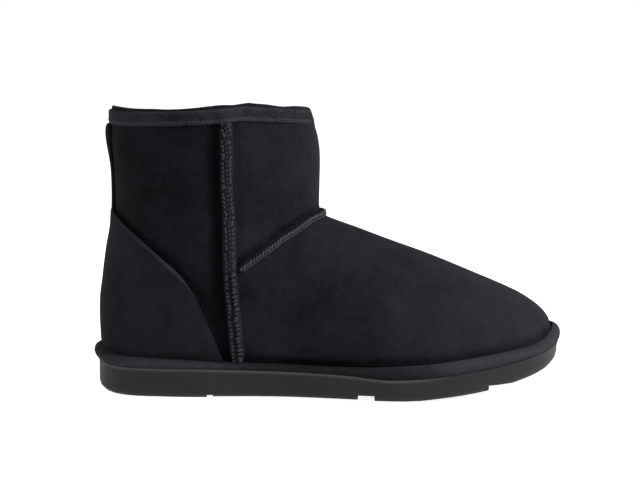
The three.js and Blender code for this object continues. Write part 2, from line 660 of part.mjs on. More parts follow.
const pieces = [
  ['outsole', makeOutsole(), RUBBER],
  ['rand', makeRand(), TWILL],
  ['insole', makeInsole(), FELT],
  ['upper', makeUpper(), SUEDE],
  ['heel_counter', makeHeelCounter(), SUEDE],
  ['back_strip', makeBackStrip(), SUEDE],
  ['collar_binding', makeCollarBinding(), TWILL],
  ['side_seam_lateral', makeSideSeam('outer'), SUEDE],
  ['side_seam_medial', makeSideSeam('inner'), SUEDE],
  ['vamp_seam', makeVampSeam(), SUEDE],
];

const boot = new THREE.Group();
for (const [name, shape, finish] of pieces) {
  const mesh = new THREE.Mesh(shape, new THREE.MeshStandardMaterial({ ...finish, metalness: 0 }));
  mesh.name = name;
  boot.add(mesh);
}
const bounds = new THREE.Box3().setFromObject(boot);
const middle = bounds.getCenter(new THREE.Vector3());
boot.position.set(-middle.x, -middle.y, -bounds.min.z);

export default boot;
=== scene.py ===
import math
import random

import bmesh
import bpy
import numpy as np
from mathutils import Matrix, Vector, noise
from mathutils.bvhtree import BVHTree


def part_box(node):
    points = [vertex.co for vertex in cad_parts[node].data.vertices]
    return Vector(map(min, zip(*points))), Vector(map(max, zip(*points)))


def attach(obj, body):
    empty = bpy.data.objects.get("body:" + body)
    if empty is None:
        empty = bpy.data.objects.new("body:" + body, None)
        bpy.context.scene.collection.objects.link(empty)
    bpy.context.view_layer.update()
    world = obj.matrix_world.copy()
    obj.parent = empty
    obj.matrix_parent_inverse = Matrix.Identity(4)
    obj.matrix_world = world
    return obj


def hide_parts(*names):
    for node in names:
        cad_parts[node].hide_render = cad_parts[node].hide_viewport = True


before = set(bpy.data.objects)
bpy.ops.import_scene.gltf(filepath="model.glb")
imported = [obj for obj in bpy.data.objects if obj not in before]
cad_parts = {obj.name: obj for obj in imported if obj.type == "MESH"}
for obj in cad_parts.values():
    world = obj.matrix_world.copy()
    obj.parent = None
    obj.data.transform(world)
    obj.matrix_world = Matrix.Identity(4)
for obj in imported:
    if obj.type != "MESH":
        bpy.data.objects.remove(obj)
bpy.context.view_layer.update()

# The upper
# Sheepskin with its suede side out, cut as a shaft front, a shaft rear and a vamp, and lasted
# to a foot. Its creases are pressed in: the fold behind the outer side seam, the tucks round the
# other seams and the rand, and soft hollows where the wall bends.
MM = 0.001
rand_low, rand_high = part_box("rand")
HEEL_X = rand_low.x
LENGTH = rand_high.x - rand_low.x
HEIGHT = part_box("collar_binding")[1].z
OUTER, INNER, BOTH = -1, 1, 0


def on_boot(along, up, side=0.0):
    """A place by its shares of the boot's length from the heel and height from the floor."""
    return Vector((HEEL_X + along * LENGTH, side, up * HEIGHT))


class Value:
    """A number that varies over a surface. Arithmetic on it adds Math nodes."""

    def __init__(self, finish, socket):
        self.finish = finish
        self.socket = socket

    def math(self, operation, first, second=0.0):
        return self.finish.node("ShaderNodeMath", {"operation": operation}, {0: first, 1: second})

    def __add__(self, other):
        return self.math("ADD", self, other)

    def __sub__(self, other):
        return self.math("SUBTRACT", self, other)

    def __rsub__(self, other):
        return self.math("SUBTRACT", other, self)

    def __mul__(self, other):
        return self.math("MULTIPLY", self, other)

    def __truediv__(self, other):
        return self.math("DIVIDE", self, other)

    def sine(self):
        return self.math("SINE", self)

    def clamp(self):
        return self.finish.node("ShaderNodeClamp", {}, {0: self})

    __radd__ = __add__
    __rmul__ = __mul__


class Finish:
    """A material and the nodes that give it its colour and relief."""

    def __init__(self, name, constants):
        self.material = bpy.data.materials.new(name)
        self.material.use_nodes = True
        self.tree = self.material.node_tree
        self.shader = self.tree.nodes["Principled BSDF"]
        for socket, value in constants.items():
            self.shader.inputs[socket].default_value = value

    def node(self, kind, settings, sockets, output=0):
        made = self.tree.nodes.new(kind)
        for name, value in settings.items():
            setattr(made, name, value)
        for key, value in sockets.items():
            if isinstance(value, Value):
                self.tree.links.new(value.socket, made.inputs[key])
            else:
                made.inputs[key].default_value = value
        return Value(self, made.outputs[output])

    def places(self):
        return self.node("ShaderNodeTexCoord", {}, {}, "Object")

    def noise(self, places, scale, detail=2.0, rough=0.5):
        sockets = {"Vector": places, "Scale": scale, "Detail": detail, "Roughness": rough}
        return self.node("ShaderNodeTexNoise", {}, sockets)

    def painted(self, name):
        return self.node("ShaderNodeAttribute", {"attribute_name": name}, {}, "Fac")

    def colour(self, share, dark, light):
        sockets = {0: share, 6: (*dark, 1.0), 7: (*light, 1.0)}
        mixed = self.node("ShaderNodeMix", {"data_type": "RGBA"}, sockets, 2)
        self.feed("Base Color", mixed)

    def relief(self, height, depth, strength=1.0):
        sockets = {"Height": height, "Distance": depth, "Strength": strength}
        self.feed("Normal", self.node("ShaderNodeBump", {}, sockets))

    def feed(self, socket, value):
        self.tree.links.new(value.socket, self.shader.inputs[socket])


def suede(name, dark, light):
    """Brushed suede: broad hand marks, a finer mottle and the nap itself."""
    finish = Finish(name, {
        "Roughness": 0.95,
        "Specular IOR Level": 0.05,
        "Sheen Weight": 0.02,
        "Sheen Roughness": 0.4,
        "Sheen Tint": (0.75, 0.78, 0.9, 1.0),
    })
    places = finish.places()
    marks = finish.noise(places, 38.0, 3.0, 0.6)
    mottle = finish.noise(places, 190.0, 3.0, 0.6)
    nap = finish.noise(places, 900.0, 2.0, 0.7)
    shade = finish.painted("shade")
    tone = shade + (marks - 0.5) * 0.9 + (mottle - 0.5) * 0.55 + (nap - 0.5) * 0.7
    finish.colour(tone.clamp(), dark, light)
    finish.relief(mottle * 0.4 + nap * 0.6, 0.5 * MM, 0.55)
    return finish.material


def copy_node(name):
    """A node's mesh with its doubles merged and its triangles paired into quads."""
    shape = bmesh.new()
    shape.from_mesh(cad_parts[name].data)
    bmesh.ops.remove_doubles(shape, verts=shape.verts, dist=0.01 * MM)
    bmesh.ops.join_triangles(
        shape, faces=shape.faces, angle_face_threshold=math.pi, angle_shape_threshold=math.pi,
        topology_influence=1.0,
    )
    return shape


def with_modifier(shape, kind, settings):
    """A shape with a modifier applied to it. The shape that goes in is used up."""
    mesh = bpy.data.meshes.new("rough")
    shape.to_mesh(mesh)
    shape.free()
    rough = bpy.data.objects.new("rough", mesh)
    bpy.context.collection.objects.link(rough)
    modifier = rough.modifiers.new("shaping", kind)
    for name, value in settings.items():
        setattr(modifier, name, value)
    graph = bpy.context.evaluated_depsgraph_get()
    shaped = bpy.data.meshes.new_from_object(rough.evaluated_get(graph))
    bpy.data.objects.remove(rough)
    result = bmesh.new()
    result.from_mesh(shaped)
    bpy.data.meshes.remove(shaped)
    return result


def settled(vert):
    """Where a corner ends up once the surface round it is subdivided for good."""
    count = len(vert.link_edges)
    total = vert.co * count * count
    for edge in vert.link_edges:
        total += 4 * edge.other_vert(vert).co
    for face in vert.link_faces:
        far = [corner for corner in face.verts if corner is not vert]
        total += far[len(far) // 2].co
    return total / (count * (count + 5))


def subdivided(shape, levels, keep=1.0):
    """Subdivides a closed shape, with its corners pushed out first so that they keep their place."""
    goals = [vert.co.copy() for vert in shape.verts]
    for _ in range(4):
        moves = [(goal - settled(vert)) * keep for vert, goal in zip(shape.verts, goals)]
        for vert, move in zip(shape.verts, moves):
            vert.co += move
    return with_modifier(shape, "SUBSURF", {"levels": levels, "render_levels": levels})


def corners(shape):
    return np.array([vert.co for vert in shape.verts])


def move_corners(shape, places):
    for vert, place in zip(shape.verts, places):
        vert.co = place
    shape.normal_update()


def distance(points, line):
    """How far each point lies from a line of straight stretches."""
    nearest = np.full(len(points), np.inf)
    for start, end in zip(line, line[1:]):
        run = end - start
        share = np.clip((points - start) @ run / (run @ run), 0.0, 1.0)
        nearest = np.minimum(nearest, np.linalg.norm(points - start - share[:, None] * run, axis=1))
    return nearest


# A line through the middle of the foot and up the shaft.
SPINE_SHARES = ((0.84, 0.13), (0.6, 0.18), (0.3, 0.27), (0.245, 0.6), (0.245, 1.05))
SPINE = [on_boot(*share) for share in SPINE_SHARES]


def outwards(points):
    """The way out of the boot at each point, away from a line through the middle of it."""
    spine = [np.array(place) for place in SPINE]
    nearest = np.full(len(points), np.inf)
    ways = np.zeros_like(points)
    for start, end in zip(spine, spine[1:]):
        run = end - start
        share = np.clip((points - start) @ run / (run @ run), 0.0, 1.0)
        way = points - start - share[:, None] * run
        length = np.linalg.norm(way, axis=1)
        closer = length < nearest
        ways[closer] = way[closer] / length[closer, None]
        nearest = np.minimum(nearest, length)
    return ways


def side_line(path):
    """A line drawn on the boot's side, from shares of its length and height."""
    return [np.array(on_boot(*share))[[0, 2]] for share in path]


def near_line(points, path, side):
    """How far each point lies from a line drawn on one side of the boot, or on both."""
    away = distance(points[:, [0, 2]], side_line(path))
    if side != BOTH:
        away = np.where(points[:, 1] * side > 0, away, 1.0)
    return away


def pressed(points, marks):
    """Presses soft troughs into points, or raises them where a depth is below nought."""
    depth = np.zeros(len(points))
    for side, mark_depth, width, path in marks:
        away = near_line(points, path, side)
        depth += mark_depth * MM * np.exp(-((away / (width * MM)) ** 2))
    return points - outwards(points) * depth[:, None]


# Where the seams run: shares of the boot's length and height.
SIDE_SEAM = ((0.293, 0.95), (0.292, 0.77), (0.297, 0.62), (0.2995, 0.45), (0.3055, 0.3), (0.312, 0.14))
VAMP_SEAM = (
    (0.312, 0.45), (0.338, 0.484), (0.369, 0.517), (0.403, 0.555), (0.44, 0.59), (0.466, 0.615),
    (0.482, 0.626),
)
COUNTER_EDGE = (
    (0.0, 0.69), (0.048, 0.638), (0.087, 0.586), (0.129, 0.533), (0.169, 0.478), (0.201, 0.423),
    (0.234, 0.358), (0.254, 0.3), (0.27, 0.231), (0.275, 0.192), (0.277, 0.149),
)
RAND_TOP = (
    (0.0, 0.148), (0.186, 0.146), (0.28, 0.14), (0.394, 0.128), (0.512, 0.12), (0.604, 0.129),
    (0.683, 0.133), (0.762, 0.141), (0.841, 0.158), (0.897, 0.174), (0.95, 0.192), (1.0, 0.225),
)


def beside(path, along, up):
    return [(share[0] + along, share[1] + up) for share in path]


SIDE_GROOVE = beside(SIDE_SEAM, -0.0215, 0.0)
SIDE_SHADE = beside(SIDE_SEAM, -0.0205, 0.0)
AHEAD_OF_COUNTER = beside(COUNTER_EDGE, 0.007, 0.006)
OVER_RAND = beside(RAND_TOP, 0.0, 0.004)

# Each mark: side, depth and width in millimetres, and the line that it follows.
SOFT_MARKS = [
    (BOTH, 1.3, 15.0, ((0.12, 0.82), (0.16, 0.66))),
    (BOTH, -0.8, 11.0, ((0.21, 0.86), (0.22, 0.66))),
    (BOTH, 1.2, 13.0, ((0.17, 0.53), (0.25, 0.42))),
    (OUTER, 0.9, 9.0, ((0.37, 0.7), (0.43, 0.64))),
    (OUTER, -0.7, 10.0, ((0.36, 0.86), (0.38, 0.74))),
    (INNER, 0.8, 9.0, ((0.35, 0.68), (0.44, 0.66))),
    (BOTH, 0.9, 12.0, ((0.36, 0.4), (0.4, 0.3))),
    (OUTER, -0.8, 16.0, ((0.5, 0.42), (0.6, 0.34))),
    (OUTER, 0.6, 6.0, ((0.57, 0.17), (0.6, 0.27), (0.59, 0.37))),
    (OUTER, 0.55, 5.0, ((0.65, 0.16), (0.67, 0.24), (0.66, 0.33))),
    (INNER, 0.7, 6.0, ((0.55, 0.17), (0.59, 0.29), (0.6, 0.4))),
    (INNER, 0.6, 5.0, ((0.63, 0.16), (0.66, 0.26))),
    (BOTH, 0.5, 8.0, ((0.06, 0.42), (0.14, 0.34))),
    (BOTH, -0.5, 9.0, ((0.08, 0.28), (0.16, 0.22))),
    (OUTER, 0.5, 5.0, ((0.34, 0.36), (0.42, 0.42), (0.5, 0.46))),
    (INNER, 0.5, 5.0, ((0.33, 0.34), (0.4, 0.41), (0.49, 0.47))),
]
SIDE_TUCKS = [
    (OUTER, 2.3, 3.0, SIDE_GROOVE),
    (INNER, 1.2, 2.6, SIDE_GROOVE),
    (BOTH, 0.6, 1.8, beside(SIDE_SEAM, 0.0185, 0.0)),
]
VAMP_TUCKS = [
    (BOTH, 1.1, 2.2, beside(VAMP_SEAM[:-2], -0.007, 0.022)),
    (BOTH, 0.4, 2.0, beside(VAMP_SEAM[:-2], 0.007, -0.024)),
]
TUCKS = [
    *SIDE_TUCKS,
    *VAMP_TUCKS,
    (BOTH, 0.5, 1.6, AHEAD_OF_COUNTER),
    (BOTH, 0.7, 2.4, beside(RAND_TOP, 0.0, 0.008)),
    (BOTH, 0.5, 2.2, ((0.0, 0.93), (0.5, 0.93))),
]
PUCKERS = 16
draw = random.Random(7)
for number in range(PUCKERS):
    along = 0.5 + 0.4 * number / (PUCKERS - 1) + draw.uniform(-0.008, 0.008)
    foot = float(np.interp(along, *zip(*RAND_TOP)))
    pucker = ((along, foot + 0.008), (along + 0.006, foot + draw.uniform(0.03, 0.06)))
    side = draw.choice((OUTER, BOTH, INNER))
    TUCKS.append((side, draw.uniform(0.2, 0.4), draw.uniform(1.8, 3.0), pucker))


# How the collar rises and sags: a share of the boot's length, then the lift in millimetres of
# the outer side and of the inner side there.
COLLAR_LIFTS = (
    (0.05, 0.0, -1.5), (0.13, 0.5, -1.2), (0.2, 0.9, -2.2), (0.245, 1.4, -2.7), (0.29, 2.2, -2.0),
    (0.325, 3.3, -0.3), (0.38, 1.8, -2.1), (0.45, 0.2, -2.9), (0.5, 0.0, -2.0),
)


def lifted(points):
    """Lets the collar rise and sag, fading out some way below its binding."""
    along, outer, inner = np.array(COLLAR_LIFTS).T
    place = (points[:, 0] - HEEL_X) / LENGTH
    side = np.clip(points[:, 1] / (35 * MM), -1.0, 1.0) * 0.5 + 0.5
    near_rim = np.clip((points[:, 2] / HEIGHT - 0.86) / 0.07, 0.0, 1.0)
    lift = np.interp(place, along, outer) * (1 - side) + np.interp(place, along, inner) * side
    points[:, 2] += lift * MM * near_rim * near_rim * (3 - 2 * near_rim)
    return points


def softened(points, marks=()):
    """The soft hollows that every layer of the wall shares, and a layer's own marks."""
    waves = [0.35 * MM * noise.noise(Vector(point) * 32.0) for point in points]
    points = points + outwards(points) * np.array(waves)[:, None]
    return lifted(pressed(points, [*SOFT_MARKS, *marks]))


def paint(shape, name, values):
    layer = shape.verts.layers.float.new(name)
    for vert, value in zip(shape.verts, values):
        vert[layer] = float(value)


def make_piece(name, shape, material, node=None):
    """Makes an object of a finished shape. It rides on the boot and may stand for a node."""
    mesh = bpy.data.meshes.new(name)
    shape.to_mesh(mesh)
    shape.free()
    mesh.shade_smooth()
    mesh.materials.append(material)
    piece = bpy.data.objects.new(name, mesh)
    bpy.context.collection.objects.link(piece)
    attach(piece, "root")
    if node:
        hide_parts(node)
    return piece


def fade(away, width):
    return np.exp(-((away / (width * MM)) ** 2))


upper = subdivided(copy_node("upper"), 2)
move_corners(upper, softened(corners(upper), TUCKS))
places = corners(upper)
shade = np.full(len(places), 0.5)
# Painted shade darkens the fold behind the outer side seam, and less behind the inner one, the wall
# just above the vamp seam, ahead of the counter's edge and above the rand. The rear panel is darker
# than the front. Painted light, partly the nap's own lighter tone, lightens the suede towards the toe.
seam_x = np.interp(places[:, 2], *zip(*[(line[1], line[0]) for line in reversed(side_line(SIDE_SEAM))]))
shade -= np.where(places[:, 0] < seam_x, 0.2, 0.0)
shade -= 0.85 * fade(near_line(places, SIDE_SHADE, OUTER), 4.2)
shade -= 0.45 * fade(near_line(places, SIDE_SHADE, INNER), 3.2)
shade -= 0.4 * fade(near_line(places, beside(VAMP_SEAM, -0.007, 0.022), BOTH), 2.2)
shade -= 0.3 * fade(near_line(places, AHEAD_OF_COUNTER, BOTH), 2.0)
shade -= 0.5 * fade(near_line(places, OVER_RAND, BOTH), 3.2)
shade += 0.4 * np.clip(((places[:, 0] - HEEL_X) / LENGTH - 0.55) / 0.35, 0.0, 1.0)
paint(upper, "shade", shade)
upper_tree = BVHTree.FromBMesh(upper)
upper_finish = suede("suede", (0.0008, 0.0009, 0.0014), (0.0088, 0.0092, 0.0116))
make_piece("upper_suede", upper, upper_finish, "upper")

# The side seams and the vamp seam
# Where two panels meet, their edges are butted and overlocked into a raised ridge. Leaning
# stitches run along it with needle holes between them. Below the vamp seam, the side seams have
# two rows of stitches with a valley between.
seam_suede = suede("seam_suede", (0.001, 0.0011, 0.0016), (0.0105, 0.011, 0.0135))


def thread(name, dark, light):
    """Spun thread, mottled by the fine noise of its fibres."""
    finish = Finish(name, {"Roughness": 0.85, "Specular IOR Level": 0.1})
    fibres = finish.noise(finish.places(), 1600.0, 2.0, 0.6)
    finish.colour(fibres, dark, light)
    finish.relief(fibres, 0.15 * MM, 0.6)
    return finish.material


seam_thread = thread("seam_thread", (0.007, 0.0073, 0.009), (0.034, 0.035, 0.04))
# Near-black beads: painted shade in the needle holes and in the pits of the rand's stitches.
stitch_and_hole_shade = thread("stitch_and_hole_shade", (0.0006, 0.0006, 0.0009), (0.002, 0.002, 0.0028))


def centre_line(points, order, count):
    """The middle line of a long thin piece, from its corners taken in order along it."""
    keys = np.array([order(point) for point in points])
    edges = np.linspace(keys.min(), keys.max(), count + 1)
    line = []
    for start, end in zip(edges, edges[1:]):
        inside = points[(keys >= start) & (keys <= end)]
        if len(inside):
            line.append(Vector(inside.mean(axis=0)))
    return line


def stepped(line, pitch, start_share):
    """Even steps along a line: each with its point and its way along."""
    steps = []
    left = pitch * start_share
    for start, end in zip(line, line[1:]):
        run = end - start
        while left <= run.length:
            steps.append((start + run.normalized() * left, run.normalized()))
            left += pitch
        left -= run.length
    return steps


def laid(tree, line, pitch, aside=0.0, lift=0.0, start_share=0.5):
    """Places for stitches on a surface, along a line and a little aside of it."""
    places = []
    for point, along in stepped(line, pitch * MM, start_share):
        out = Vector(outwards(np.array([point]))[0])
        _, normal, _, _ = upper_tree.find_nearest(point)
        out = normal if normal.dot(out) > 0 else out
        across = out.cross(along).normalized()
        start = point + across * aside * MM + out * 8 * MM
        hit, normal, _, _ = tree.ray_cast(start, -out, 16 * MM)
        if hit:
            places.append((hit + normal * lift * MM, along, normal))
    return places


# One round bead, a millimetre across, is stretched into every stitch.
bead = bmesh.new()
bmesh.ops.create_uvsphere(bead, u_segments=8, v_segments=5, radius=0.5 * MM)
bead_mesh = bpy.data.meshes.new("bead")
bead.to_mesh(bead_mesh)
bead.free()
hand = random.Random(11)


def sew(shape, places, length, thickness, lean=0.0):
    """Adds a rounded stitch at each place, a little uneven. Lengths are in millimetres."""
    for point, along, out in places:
        turn = math.radians(lean + hand.uniform(-7.0, 7.0))
        size = hand.uniform(0.85, 1.12)
        across = out.cross(along).normalized()
        along = across.cross(out)
        run = along * math.cos(turn) + across * math.sin(turn)
        width = out.cross(run)
        sides = (width * thickness * size, out * thickness * 0.8, run * length * size)
        form = Matrix(sides).transposed().to_4x4()
        form.translation = point
        stitch = bead_mesh.copy()
        stitch.transform(form)
        shape.from_mesh(stitch)
        bpy.data.meshes.remove(stitch)


SEAM_KEEP = 0.35
JOIN = on_boot(*VAMP_SEAM[0])
CREST = on_boot(*VAMP_SEAM[-1])
RISE = (CREST - JOIN).normalized()


def vamp_order(point):
    """How far round the instep a point lies, from the outer side over the top to the inner."""
    way = Vector(point) - JOIN
    return math.atan2(way.y, way.dot(RISE))


for node, side in (("side_seam_lateral", OUTER), ("side_seam_medial", INNER)):
    seam = subdivided(copy_node(node), 2, SEAM_KEEP)
    points = softened(corners(seam), SIDE_TUCKS)
    valley = near_line(points, SIDE_SEAM, side)
    lower = np.clip((JOIN.z - points[:, 2]) / (8 * MM), 0.0, 1.0)
    points -= outwards(points) * (0.9 * MM * fade(valley, 0.9) * lower)[:, None]
    under_tape = np.clip((points[:, 2] - points[:, 2].max()) / (7 * MM) + 1.0, 0.0, 1.0) ** 2
    points[:, 2] += 4.0 * MM * under_tape
    points -= outwards(points) * (0.9 * MM * under_tape)[:, None]
    move_corners(seam, points)
    # Painted shade darkens the valley between the two rows of stitches below the vamp seam.
    paint(seam, "shade", 0.5 - 0.5 * fade(valley, 0.8) * lower)
    tree = BVHTree.FromBMesh(seam)
    stitches = bmesh.new()
    holes = bmesh.new()
    line = centre_line(corners(seam), lambda point: point[2], 60)
    line.reverse()
    top = [point for point in line if point.z > JOIN.z - 1 * MM]
    foot = [point for point in line if point.z <= JOIN.z + 1 * MM]
    flip = -side
    sew(stitches, laid(tree, top, 2.6, -2.1 * flip, -0.05), 2.7, 1.4, 32 * flip)
    sew(stitches, laid(tree, top, 2.6, 0.1 * flip, -0.05, 0.1), 2.4, 0.7, -50 * flip)
    sew(stitches, laid(tree, top, 2.6, 2.1 * flip, -0.05, 0.0), 2.5, 1.2, -30 * flip)
    sew(holes, laid(tree, top, 2.6, -0.3 * flip, 0.0, 0.55), 1.7, 1.2, 15 * flip)
    sew(stitches, laid(tree, foot, 2.6, -2.2 * flip, 0.0), 2.1, 1.8, 60 * flip)
    sew(stitches, laid(tree, foot, 2.6, 1.9 * flip, 0.0), 3.2, 2.0, -68 * flip)
    sew(holes, laid(tree, foot, 1.6, -0.4 * flip, 0.0), 1.8, 0.9, 0)
    make_piece(node + "_ridge", seam, seam_suede, node)
    make_piece(node + "_stitches", stitches, seam_thread)
    make_piece(node + "_holes", holes, stitch_and_hole_shade)

vamp = subdivided(copy_node("vamp_seam"), 2, SEAM_KEEP)
vamp_line = centre_line(corners(vamp), vamp_order, 40)
move_corners(vamp, softened(corners(vamp), VAMP_TUCKS))
paint(vamp, "shade", np.full(len(vamp.verts), 0.35))
tree = BVHTree.FromBMesh(vamp)
stitches = bmesh.new()
holes = bmesh.new()
sew(stitches, laid(tree, vamp_line, 2.2, -0.2, 0.0, 0.0), 3.4, 1.7, 36)
sew(stitches, laid(tree, vamp_line, 1.4, -1.9, -0.1), 1.9, 0.9, 0)
sew(holes, laid(tree, vamp_line, 2.2, 1.7, -0.1, 0.2), 1.7, 1.3, 55)
sew(holes, laid(upper_tree, vamp_line, 2.2, 3.1, -0.1), 1.9, 1.1, 70)
make_piece("vamp_seam_ridge", vamp, seam_suede, "vamp_seam")
make_piece("vamp_seam_stitches", stitches, seam_thread)
make_piece("vamp_seam_holes", holes, stitch_and_hole_shade)

# The heel counter
# A stiffened suede layer stitched over the heel. Its edge is cut raw, so a thin lighter line
# shows along it. It rises from the rand on each side to a rounded top at the rear.
counter = subdivided(copy_node("heel_counter"), 2)
places = softened(corners(counter))
move_corners(counter, places)
shade = 0.55 + 0.9 * fade(near_line(places, COUNTER_EDGE, BOTH), 0.9)
# Painted shade darkens the counter just above the rand.
shade -= 0.25 * fade(near_line(places, OVER_RAND, BOTH), 2.5)
paint(counter, "shade", shade)
counter_suede = suede("counter_suede", (0.002, 0.0021, 0.0027), (0.0105, 0.0108, 0.0133))
counter_tree = BVHTree.FromBMesh(counter)
make_piece("heel_counter_suede", counter, counter_suede, "heel_counter")
cut_edge = bmesh.new()
for side in (OUTER, INNER):
    line = []
    for along, up in beside(COUNTER_EDGE, -0.0015, -0.006)[1:-1]:
        hit, _, _, _ = counter_tree.ray_cast(on_boot(along, up, side * 0.2), Vector((0.0, -side, 0.0)))
        if hit:
            line.append(hit)
    sew(cut_edge, laid(counter_tree, line, 1.2, 0.0, -0.1), 1.7, 0.6)
edge_thread = thread("edge_thread", (0.006, 0.0062, 0.0075), (0.024, 0.0245, 0.029))
make_piece("heel_counter_edge", cut_edge, edge_thread)

# The back strip
# A narrow suede strip over the rear seam, from the binding down to the top of the counter.
strip = subdivided(copy_node("back_strip"), 3)
move_corners(strip, softened(corners(strip)))
# Painted light: the strip is painted lighter where it faces the heel, away from the toe lamp.
paint(strip, "shade", np.full(len(strip.verts), 0.8))
make_piece("back_strip_suede", strip, counter_suede, "back_strip")

# The collar binding
# Twill tape folded over the raw collar and stitched through close to its lower edge.


def twill(name, dark, light, ribs, pitch):
    """Twill tape: fine ribs that climb across it, with its yarns breaking them up."""
    finish = Finish(name, {"Roughness": 0.9, "Specular IOR Level": 0.08})
    around = finish.node("ShaderNodeUVMap", {"uv_map": "cloth"}, {})
    share = finish.node("ShaderNodeSeparateXYZ", {}, {0: around}, "X")
    across = finish.node("ShaderNodeSeparateXYZ", {}, {0: around}, "Y")
    turn = 2 * math.pi
    rib = ((share * ribs - across / (pitch * MM)) * turn).sine() * 0.5 + 0.5
    yarn = ((share * (ribs * 2) + across / (pitch * MM)) * turn).sine() * 0.5 + 0.5
    wear = finish.noise(finish.places(), 260.0, 3.0, 0.6)
    tone = finish.painted("shade") + (rib - 0.5) * 0.7 + (yarn - 0.5) * 0.12 + (wear - 0.5) * 0.9
    finish.colour(tone.clamp(), dark, light)
    finish.relief(rib * 0.8 + yarn * 0.2, 0.35 * MM, 0.8)
    return finish.material


class Round:
    """Measures a ring-shaped piece: how far round it a point lies, and where its middle is."""

    def __init__(self, points, middle):
        self.middle = middle
        bins = 120
        turns = self.turns(points)
        radii = np.linalg.norm(points[:, :2] - middle[:2], axis=1)
        heights = points[:, 2]
        grid = (np.arange(bins) + 0.5) / bins
        index = np.minimum((turns * bins).astype(int), bins - 1)
        measure = {"radius": (radii, np.mean), "height": (heights, np.mean), "top": (heights, np.max)}
        self.grid = grid
        for name, (values, method) in measure.items():
            groups = [values[index == step] for step in range(bins)]
            found = np.array([method(group) if len(group) else np.nan for group in groups])
            good = ~np.isnan(found)
            setattr(self, name, np.interp(grid, grid[good], found[good], period=1.0))
        angles = 2 * np.pi * grid
        rim = np.stack((self.radius * np.cos(angles), self.radius * np.sin(angles)), axis=1)
        steps = np.linalg.norm(np.roll(rim, -1, axis=0) - rim, axis=1)
        self.length = steps.sum()
        self.share = np.concatenate(([0.0], np.cumsum(steps)[:-1])) / self.length

    def turns(self, points):
        way = points[:, :2] - self.middle[:2]
        return (np.arctan2(way[:, 1], way[:, 0]) / (2 * np.pi)) % 1.0

    def at(self, name, turns):
        return np.interp(turns, self.grid, getattr(self, name), period=1.0)

    def shares(self, turns):
        grid = np.concatenate((self.grid[-1:] - 1, self.grid, self.grid[:1] + 1))
        share = np.concatenate((self.share[-1:] - 1, self.share, self.share[:1] + 1))
        return np.interp(turns, grid, share)


def lay_cloth(shape, ring, across):
    """Gives a ring-shaped piece its cloth map: the share of the way round, and metres across."""
    points = corners(shape)
    shares = ring.shares(ring.turns(points))
    layer = shape.loops.layers.uv.new("cloth")
    for face in shape.faces:
        around = [shares[loop.vert.index] for loop in face.loops]
        wraps = max(around) - min(around) > 0.5
        for loop, share in zip(face.loops, around):
            loop[layer].uv = (share + (1.0 if wraps and share < 0.5 else 0.0), across[loop.vert.index])


def ring_line(tree, ring, heights, reach):
    """A closed line round the boot, where rays from outside meet a surface at given heights."""
    line = []
    for turn, height in zip(ring.grid, heights):
        way = Vector((math.cos(2 * math.pi * turn), math.sin(2 * math.pi * turn), 0.0))
        start = Vector((ring.middle[0], ring.middle[1], height)) + way * reach
        hit, _, _, _ = tree.ray_cast(start, -way)
        if hit:
            line.append(hit)
    return line + line[:1]


binding = subdivided(copy_node("collar_binding"), 2, 0.4)
move_corners(binding, softened(corners(binding)))
places = corners(binding)
shaft_middle = np.array(on_boot(0.245, 1.0))
collar = Round(places, shaft_middle)
turns = collar.turns(places)
reach = np.linalg.norm(places[:, :2] - shaft_middle[:2], axis=1)
inside = reach < collar.at("radius", turns)
below_top = collar.at("top", turns) - places[:, 2]
places[:, 2] += np.where(inside, 0.0, 0.12 * below_top)
over_seam = fade(near_line(places, ((0.293, 0.9), (0.293, 1.1)), BOTH), 4.2)
over_seam -= 0.7 * fade(near_line(places, ((0.272, 0.9), (0.272, 1.1)), BOTH), 2.2)
swell = np.where(inside, 0.0, 1.3 * MM * over_seam * np.clip(below_top / (6 * MM), 0.0, 1.0))
front = np.clip(((places[:, 0] - HEEL_X) / LENGTH - 0.4) / 0.07, 0.0, 1.0)
swell -= np.where(inside, 0.0, 1.7 * MM * front)
places += outwards(places) * swell[:, None]
move_corners(binding, places)
across = np.where(inside, 2 * collar.at("top", turns) - places[:, 2], places[:, 2])
binding.verts.index_update()
lay_cloth(binding, collar, across)
# Painted light and shade on the tape: a painted highlight along its top rim, and painted shade on its
# inner face and in the fold behind the outer side seam. It is also lighter along a line 8.3 mm below
# the top, and darker round the middle of the outer side and towards the front.
darker_middle = fade(near_line(places, ((0.2, 0.9), (0.2, 1.1)), OUTER), 16.0)
shade = 0.5 + 0.4 * fade(below_top - 8.3 * MM, 0.9) - 0.25 * inside + 0.3 * fade(below_top, 2.0)
ahead = np.clip(((places[:, 0] - HEEL_X) / LENGTH - 0.3) / 0.08, 0.0, 1.0)
paint(binding, "shade", shade - 0.3 * darker_middle - 0.3 * ahead - 0.4 * np.clip(-over_seam, 0.0, 1.0))
binding_tree = BVHTree.FromBMesh(binding)
tape = twill("binding_twill", (0.0012, 0.0013, 0.002), (0.02, 0.0205, 0.0245), 190, 1.9)
make_piece("collar_binding_tape", binding, tape, "collar_binding")
stitches = bmesh.new()
tape_thread = thread("tape_thread", (0.008, 0.0083, 0.01), (0.032, 0.033, 0.038))
line = ring_line(binding_tree, collar, collar.top - 6.5 * MM, 0.15)
sew(stitches, laid(binding_tree, line, 2.8, 0.0, 0.0), 2.0, 0.7)
make_piece("collar_binding_stitches", stitches, tape_thread)

# The fleece
# The wool side of the sheepskin: a dense curly pile that lines the shaft and the foot, and
# covers the insole.


